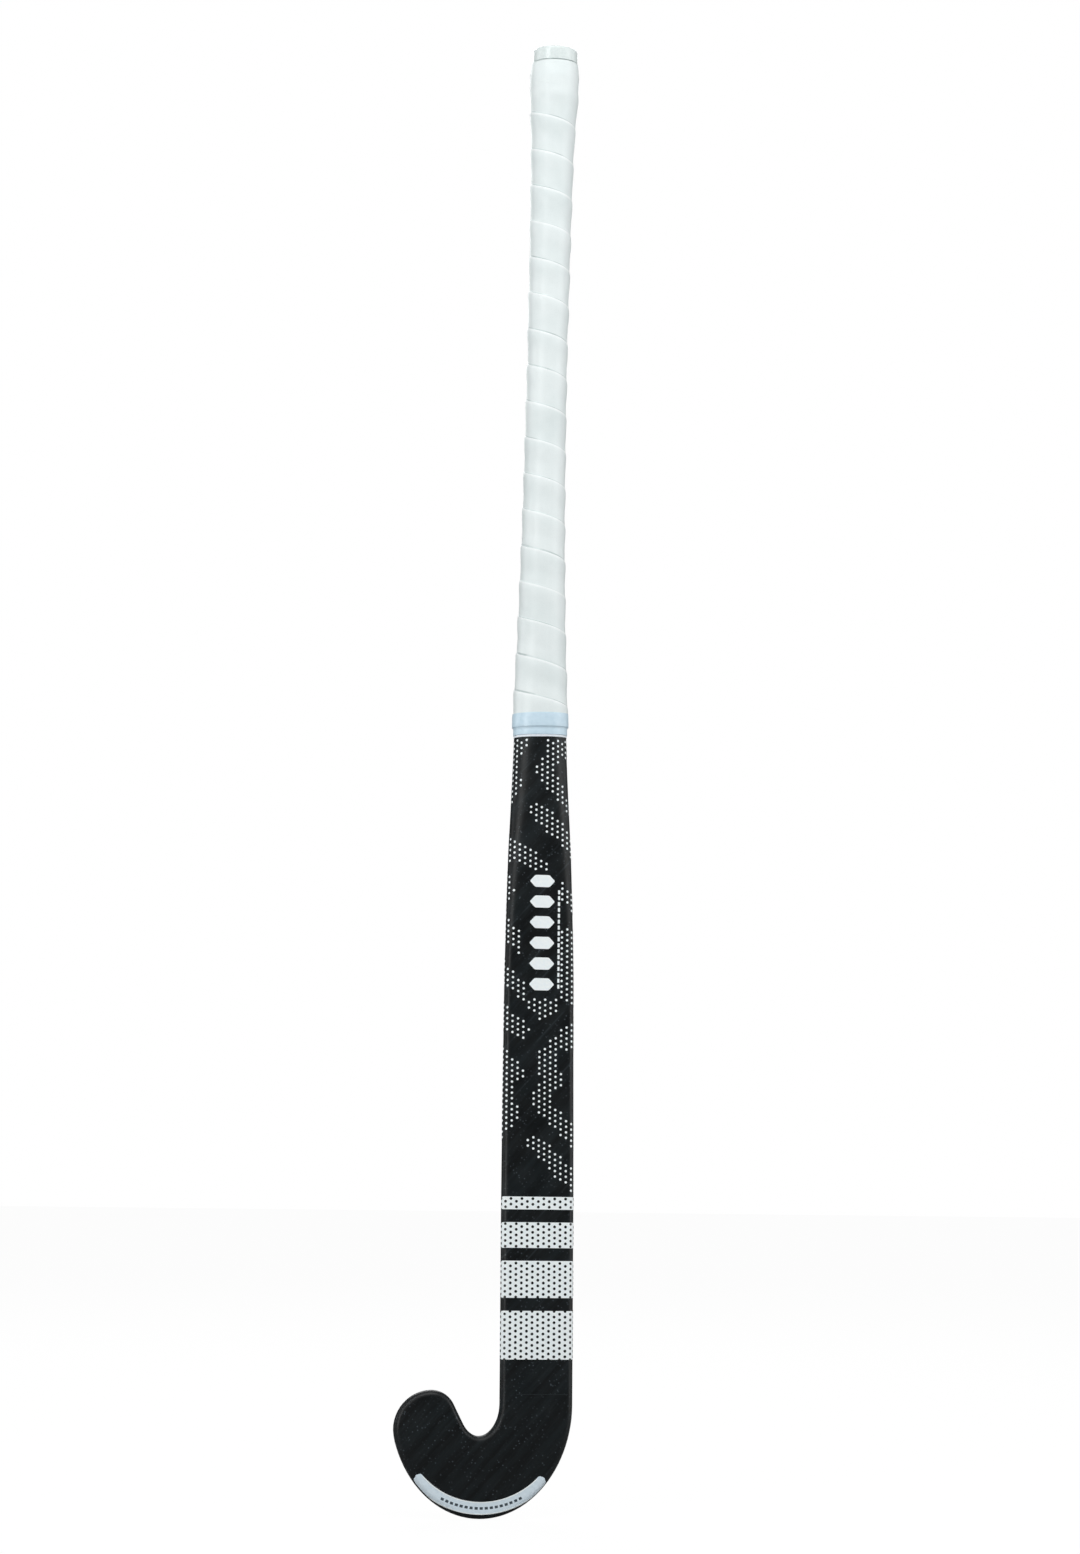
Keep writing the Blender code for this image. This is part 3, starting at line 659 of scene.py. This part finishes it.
FIRST_SEAM = 908.3  # mm, height of a seam at the playing face's left edge
WOUND_FROM = FIRST_SEAM + 3 * TURN_PITCH  # three turns higher, so that the tape reaches under the cap
PLAIN_FROM = 916.0  # mm, above this the tape's laps are pressed flat under the cap
RISE = 0.65  # mm a turn's upper edge stands out over the turn above
COLUMNS, ROWS = 56, 14  # points round one turn and across the tape
SPARE_TURNS = 1.4  # wound on past the bottom and trimmed off
TAPE_SINK = 0.45  # mm the tape's lower face lies inside the grip's outside
TAPE_OVER = 6.0  # mm past its ends up to which the tape follows the handle's shape
UNEVEN, RIPPLE, CREASE = 1.3, 0.16, 0.1  # mm: of the pitch, and of the tape's long and short waves
along_count = int(((WOUND_FROM - TAPE_BOTTOM) / TURN_PITCH + SPARE_TURNS) * COLUMNS)

select_none()
bpy.ops.mesh.primitive_grid_add(x_subdivisions=along_count, y_subdivisions=ROWS, size=2)
wound = bpy.context.object


@lru_cache(maxsize=None)
def pitch_shift(turn):
    """How much a turn was wound higher or lower than an even one, in mm."""
    return UNEVEN * waves.noise(Vector((turn * 1.7, 0.3, 9.1)))


across = wound.data.attributes.new("across_tape", "FLOAT", "POINT")
lies_at = []
for vert in wound.data.vertices:
    t = (vert.co.x + 1) / 2 * along_count / COLUMNS
    v = (vert.co.y + 1) / 2
    edge = v * (TURN_PITCH + LAP)
    turn, part = int(t), t - int(t)
    shift = pitch_shift(turn) * (1 - part) + pitch_shift(turn + 1) * part
    z = WOUND_FROM - TURN_PITCH * t + shift - (TURN_PITCH + LAP) + edge
    level = min(max(z, TAPE_BOTTOM - TAPE_OVER), TAPE_TOP + TAPE_OVER)
    plain = ease(z, PLAIN_FROM, PLAIN_FROM + 8)
    # Above PLAIN_FROM the tape reads as mid-turn in across_tape, so no painted seam shade or highlight is drawn
    # there.
    lies_at.append(edge + (TURN_PITCH / 2 - edge) * plain)
    swell = RISE * (1 - plain) * ease(edge, TURN_PITCH * 0.45, TURN_PITCH + LAP * 0.35)
    swell *= 1 - 0.35 * ease(edge, TURN_PITCH + LAP * 0.75, TURN_PITCH + LAP)
    ripple = RIPPLE * waves.noise(Vector((t * 5.0, edge / 9.0, 2.0)))
    ripple += CREASE * waves.noise(Vector((t * 16.0 + edge / 3, edge / 5.0, 7.0)))
    ring = section(level, grow(level) - TAPE_SINK + swell + ripple)
    path = np.array(ring + ring[:1])
    lengths = np.concatenate([[0.0], np.cumsum(np.hypot(*(path[1:] - path[:-1]).T))])
    s = part * lengths[-1]
    vert.co = Vector((np.interp(s, lengths, path[:, 0]), np.interp(s, lengths, path[:, 1]), z)) * MM

across.data.foreach_set("value", lies_at)

bpy.ops.object.mode_set(mode="EDIT")
for height, side in ((TAPE_TOP, 1), (TAPE_BOTTOM, -1)):
    bpy.ops.mesh.select_all(action="SELECT")
    bpy.ops.mesh.bisect(plane_co=(0, 0, height * MM), plane_no=(0, 0, side), clear_outer=True)
bpy.ops.object.mode_set(mode="OBJECT")
turn_faces_out(wound)
thicken(wound, TAPE_SKIN)
reshape(wound, place)
finish_piece(wound, "wound_grip_tape", grip, ["grip_tape"], angle=50)

# ---------------------------------------------------------------- end cap

# Height and mm outside the bare body, from the skirt's foot, over the rounded edge, to the dished top.
cap = [(TUBE_TOP + 0.3, CAP_SKIRT), (CAP_BOTTOM, CAP_SKIRT), (CAP_BOTTOM, CAP_GROW - 0.4)]
cap += [(CAP_BOTTOM + 0.4, CAP_GROW), (CAP_BOTTOM + 2.0, CAP_GROW)]
for k in range(9):
    a = pi / 2 * k / 8
    cap.append((LENGTH - CAP_ROUND * (1 - sin(a)), CAP_GROW - CAP_ROUND * (1 - cos(a))))
cap += [(LENGTH, -2.0), (LENGTH - 0.2, -2.3), (LENGTH - 0.7, -2.6), (LENGTH - 0.9, -3.2)]
cap += [(LENGTH - 0.9, -7.4), (LENGTH - 0.7, -7.8), (LENGTH - 0.7, -9.6)]
cap_piece = reshape(pull_rings([ring_at(z, extra) for z, extra in cap]), place)
finish_piece(cap_piece, "butt_cap", cap_rubber, ["end_cap"], angle=35)

# ---------------------------------------------------------------- finishing tapes

TAPE_SLOPE, TAPE_HALF = 0.5, 17.0  # mm the tape's edges rise over half the stick's width, and that width
BAND_ROWS, BAND_WAVE = 6, 0.12  # slices up a turn, and mm that its edges wave and are rounded over


def band(low, high, extra, surface, name, node):
    """A closed turn of thin tape round the handle, its edges a little uneven and rounded over."""
    rows = []
    for k in range(BAND_ROWS + 1):
        z = low + (high - low) * k / BAND_ROWS
        out = extra(z) - (BAND_WAVE if k in (0, BAND_ROWS) else 0.0)
        ring = []
        for n, (x, y) in enumerate(section(z, out)):
            uneven = BAND_WAVE * waves.noise(Vector((n / 6.0, z / 3.0, 5.0)))
            ring.append((x, y, z + TAPE_SLOPE * x / TAPE_HALF + uneven))
        rows.append(ring)
    made = pull_rings(rows, closed_ends=False)
    turn_faces_out(made)
    thicken(made, BAND_SKIN)
    reshape(made, place)
    finish_piece(made, name, surface, [node], angle=60)


def over_the_grip(z):
    return grow(z) + BAND_SKIN


def down_to_the_shaft(z):
    """The lower turn steps out where it meets the grip tape's end."""
    return 0.35 + 0.6 * ease(z, BAND_STEP - 2, BAND_STEP + 0.5)


def on_the_shaft(z):
    return BAND_SKIN


band(
    BAND_STEP - 0.4, BAND_TOP, over_the_grip,
    blue_tape, "upper_blue_tape", "finishing_tape_upper",
)
band(
    BAND_BOTTOM, BAND_STEP + 0.2, down_to_the_shaft,
    blue_tape, "lower_blue_tape", "finishing_tape_lower",
)
band(
    EDGE_BOTTOM, BAND_BOTTOM - 0.1, on_the_shaft,
    tape_edge, "white_tape_edge", "tape_edge",
)

# ---------------------------------------------------------------- prints on the shaft

CUTS, TALL_CUTS = 0.9, 5.5  # mm between a print's slices across and up the stick, to follow its curves


def joined(pieces):
    """Many pieces made one."""
    select_none()
    for piece in pieces:
        piece.select_set(True)
    bpy.context.view_layer.objects.active = pieces[0]
    bpy.ops.object.join()
    return bpy.context.object


def flat_print(corners, radius, up=PRINT_UP):
    """A thin print drawn flat: a polygon with its corners bevelled round, sliced so that it can be laid on the
    body, and given its thickness. corners are (mm round the body, height)."""
    select_none()
    bpy.ops.mesh.primitive_circle_add(vertices=len(corners), radius=MM, fill_type="NGON")
    made = bpy.context.object
    for vert, (s, z) in zip(made.data.vertices, corners):
        vert.co = Vector((s, -up, z)) * MM
    bpy.ops.object.mode_set(mode="EDIT")
    bpy.ops.mesh.select_all(action="SELECT")
    if radius:
        bpy.ops.mesh.bevel(offset=radius * MM, segments=5, affect="VERTICES")
    low = min(s for s, _ in corners)
    high = max(s for s, _ in corners)
    for k in range(1, int((high - low) / CUTS) + 1):
        bpy.ops.mesh.select_all(action="SELECT")
        bpy.ops.mesh.bisect(plane_co=((low + k * CUTS) * MM, 0, 0), plane_no=(1, 0, 0))
    bottom = min(z for _, z in corners)
    top = max(z for _, z in corners)
    for k in range(1, int((top - bottom) / TALL_CUTS) + 1):
        bpy.ops.mesh.select_all(action="SELECT")
        bpy.ops.mesh.bisect(plane_co=(0, 0, (bottom + k * TALL_CUTS) * MM), plane_no=(0, 0, 1))
    bpy.ops.mesh.select_all(action="SELECT")
    bpy.ops.mesh.normals_make_consistent(inside=False)
    bpy.ops.object.mode_set(mode="OBJECT")
    if made.data.polygons[0].normal.y > 0:
        made.data.flip_normals()
    return thicken(made, up + PRINT_SUNK)


def inside(point, corners):
    """Whether a point lies inside a closed outline."""
    (x, z), found = point, False
    for (ax, az), (bx, bz) in zip(corners, corners[1:] + corners[:1]):
        if (az > z) != (bz > z) and x < ax + (z - az) / (bz - az) * (bx - ax):
            found = not found
    return found


def scattered(places, radius, up):
    """One small disc, copied to each place with its own mesh, and all joined."""
    select_none()
    bpy.ops.mesh.primitive_cylinder_add(
        vertices=DOT_SIDES, radius=radius * MM, depth=(up + DOT_SUNK) * MM, rotation=(radians(90), 0, 0)
    )
    first = bpy.context.object
    bpy.ops.object.transform_apply(location=True, rotation=True, scale=True)
    first.data.transform(Matrix.Translation((0, -(up - DOT_SUNK) / 2 * MM, 0)))
    copies = []
    for s, z in places:
        copy = first.copy()
        copy.data = first.data.copy()
        copy.data.transform(Matrix.Translation((s * MM, 0, z * MM)))
        bpy.context.scene.collection.objects.link(copy)
        copies.append(copy)
    bpy.data.objects.remove(first)
    return joined(copies)


bars = []
for number, (low, high) in enumerate(BARS, 1):
    side = BAR_SIDE + BAR_WRAP
    corners = [(-side, low), (side, low), (side, high), (-side, high)]
    bars.append(corners)
    made = reshape(flat_print(corners, BAR_ROUND), on_body)
    finish_piece(made, f"level_bar_print_{number}", white_ink, [f"level_bar_{number}"])

for number in range(1, LOZENGES + 1):
    top = LOZENGE_TOP - LOZENGE_PITCH * (number - 1)
    left, right, low = LOZENGE_X - LOZENGE_HALF, LOZENGE_X + LOZENGE_HALF, top - LOZENGE_TALL
    corners = [(left, (low + top) / 2), (left + LOZENGE_POINT, low), (right - LOZENGE_POINT, low)]
    corners += [(right, (low + top) / 2), (right - LOZENGE_POINT, top), (left + LOZENGE_POINT, top)]
    made = reshape(flat_print(corners, LOZENGE_ROUND), on_body)
    finish_piece(made, f"lozenge_print_{number}", white_ink, [f"lozenge_{number}"])

left, right, low, high = SIDE_LINE
dashes = []
z = low
while z + DASH < high:
    corners = [(left, z), (right, z), (right, z + DASH), (left, z + DASH)]
    dashes.append(flat_print(corners, DASH_ROUND))
    z += DASH + DASH_GAP
made = reshape(joined(dashes), on_body)
finish_piece(made, "dashed_side_line", white_ink, ["side_line"])

# Dots sit on one lattice, every other column half a step lower.
columns = range(-DOT_COLUMNS, DOT_COLUMNS + 1)
rows = range(int(DOTS_BOTTOM / DOT_PITCH), int(BAND_BOTTOM / DOT_PITCH) + 1)
lattice = [(i * DOT_PITCH, (j + 0.5 * (i % 2)) * DOT_PITCH) for i in columns for j in rows]
# No dots where the lozenges and the dashed line stand: left, right, bottom, top.
blank = (LOZENGE_X - LOZENGE_HALF - 2, LOZENGE_X + LOZENGE_HALF + 4, LOZENGE_TOP - 80, LOZENGE_TOP + 3)


def free(s, z):
    """Whether a place is clear of the other prints and of the tape."""
    among_lozenges = blank[0] < s < blank[1] and blank[2] < z < blank[3]
    return not among_lozenges and BARS[-1][1] + BARS_CLEAR < z < EDGE_BOTTOM - DOTS_CLEAR


white_dots = [p for p in lattice if free(*p) and any(inside(p, field) for field in DOTTED)]
made = reshape(scattered(white_dots, DOT / 2, DOT_UP), on_body)
finish_piece(made, "printed_dots", white_ink, outwards=False)
holes = [p for p in lattice if any(inside(p, bar) for bar in bars)]
made = reshape(scattered(holes, HOLE / 2, DOT_UP + OVERPRINT), on_body)
finish_piece(made, "dots_in_the_bars", black_ink, outwards=False)

# ---------------------------------------------------------------- prints on the head


def arc_print(start, end, low, high, steps, trim, up):
    """A flat band along an arc about the stripe's centre, kept a margin inside the head's outline."""
    cx, cz = STRIPE_CENTRE
    near, far = [], []
    for k in range(steps + 1):
        a = radians(start + (end - start) * k / steps)
        reach = high
        while depth_in(cx + reach * cos(a), cz + reach * sin(a)) < STRIPE_MARGIN - (STRIPE_OUTER - high):
            reach -= STRIPE_NUDGE
        arc_left = min(k, steps - k) / steps * radians(end - start) * high
        cut = trim - sqrt(max(trim**2 - max(trim - arc_left, 0) ** 2, 0)) if trim else 0.0
        cut = min(cut, (reach - low) / 2 - STRIPE_NUDGE)
        near.append((cx + (low + cut) * cos(a), cz + (low + cut) * sin(a)))
        far.append((cx + (reach - cut) * cos(a), cz + (reach - cut) * sin(a)))
    select_none()
    bpy.ops.mesh.primitive_grid_add(x_subdivisions=steps, y_subdivisions=STRIPE_ROWS, size=2)
    made = bpy.context.object
    for vert in made.data.vertices:
        k = round((vert.co.x + 1) / 2 * steps)
        share = (vert.co.y + 1) / 2
        (ax, az), (bx, bz) = near[k], far[k]
        vert.co = Vector((ax + (bx - ax) * share, -up, az + (bz - az) * share)) * MM
    if made.data.polygons[0].normal.y > 0:
        made.data.flip_normals()
    return thicken(made, up + PRINT_SUNK)


stripe = arc_print(STRIPE_FROM, STRIPE_TO, STRIPE_INNER, STRIPE_OUTER, 90, STRIPE_ROUND, PRINT_UP)
finish_piece(reshape(stripe, on_body), "heel_stripe_print", stripe_ink, ["heel_stripe"])
# The brighter line along each edge, how many degrees it stops short of the ends, and how proud it lies.
for name, low, high, short, up in (
    ("stripe_inner_line", STRIPE_INNER, STRIPE_INNER + EDGE_LINE, 4, PRINT_UP + OVERPRINT),
    ("stripe_outer_line", STRIPE_OUTER - EDGE_LINE, STRIPE_OUTER, 14, PRINT_UP + EDGE_UP),
):
    line = reshape(arc_print(STRIPE_FROM + short, STRIPE_TO - short, low, high, 80, 0, up), on_body)
    finish_piece(line, name, white_ink)

marks = []
a = MARKS_FROM
while a < MARKS_TO:
    mark_end = a + MARK_STEP * MARK_SHARE
    marks.append(arc_print(a, mark_end, MARK_INNER, MARK_OUTER, 3, 0, PRINT_UP + OVERPRINT))
    a += MARK_STEP
finish_piece(reshape(joined(marks), on_body), "stripe_marks", mark_ink)

# The lacquer film on the shaft ends in a fine raised line above the hook.
film_start = FILM_END - FILM_LINE
corners = [(FILM_LEFT, film_start), (FILM_RIGHT, film_start), (FILM_RIGHT, FILM_END), (FILM_LEFT, FILM_END)]
rim_line = flat_print(corners, 0, up=FILM_UP)
finish_piece(reshape(rim_line, on_body), "film_edge", film_rim)

# ---------------------------------------------------------------- studio

base = min(v[2] for v in cad_box)
bpy.context.scene.view_settings.view_transform = "Standard"

camera_data = bpy.data.cameras.new("camera")
camera_data.sensor_width = SENSOR
camera_data.lens = CAMERA_LENS
camera = bpy.data.objects.new("camera", camera_data)
bpy.context.scene.collection.objects.link(camera)
bpy.context.scene.camera = camera
aim = Vector(CAMERA_AIM)
azimuth, elevation, roll = radians(CAMERA_ROUND), radians(CAMERA_UP), radians(CAMERA_ROLL)
away = Vector((sin(azimuth) * cos(elevation), -cos(azimuth) * cos(elevation), sin(elevation)))
camera.location = aim + away * CAMERA_AWAY
turn_to = (-away).to_track_quat("-Z", "Y").to_matrix() @ Matrix.Rotation(roll, 3, "Z")
camera.rotation_euler = turn_to.to_euler()

# A white backdrop as seen, and a dim room for what the lacquer reflects.
world = bpy.data.worlds.new("studio")
bpy.context.scene.world = world
world.use_nodes = True
tree = world.node_tree
backdrop = tree.nodes["Background"]
backdrop.inputs["Color"].default_value = (1, 1, 1, 1)
backdrop.inputs["Strength"].default_value = 1.0
room = add(tree, "Background", Strength=ROOM_LIGHT)
seen = add(tree, "LightPath", "Is Camera Ray")
mixed = add(tree, "MixShader", _0=seen, _1=room, _2=backdrop.outputs["Background"])
tree.links.new(mixed, tree.nodes["World Output"].inputs["Surface"])

for name, angle, tilt, reach, wide, tall, watts in SOFTBOXES:
    lamp_data = bpy.data.lights.new(name, "AREA")
    lamp_data.shape = "RECTANGLE"
    lamp_data.size, lamp_data.size_y = wide, tall
    lamp_data.energy = watts
    lamp = bpy.data.objects.new(name, lamp_data)
    bpy.context.scene.collection.objects.link(lamp)
    a, b = radians(angle), radians(tilt)
    direction = Vector((sin(a) * cos(b), -cos(a) * cos(b), sin(b)))
    lamp.location = aim + direction * reach
    lamp.rotation_euler = (-direction).to_track_quat("-Z", "Y").to_euler()

bpy.ops.mesh.primitive_plane_add(size=FLOOR_SIZE, location=(0, 0, base - FLOOR_GAP))
floor = bpy.context.object
floor.name = "floor"
sweep, tree, shader = new_surface("matt_white_sweep", "8C8C8C", 0.9)
glow = add(tree, "Emission", Strength=SWEEP_GLOW)
seen = add(tree, "LightPath", "Is Camera Ray")
share = add(tree, "Math", operation="MULTIPLY", _0=seen, _1=SWEEP_EVEN)
mixed = add(tree, "MixShader", _0=share, _1=shader.outputs["BSDF"], _2=glow)
tree.links.new(mixed, tree.nodes["Material Output"].inputs["Surface"])
floor.data.materials.append(sweep)
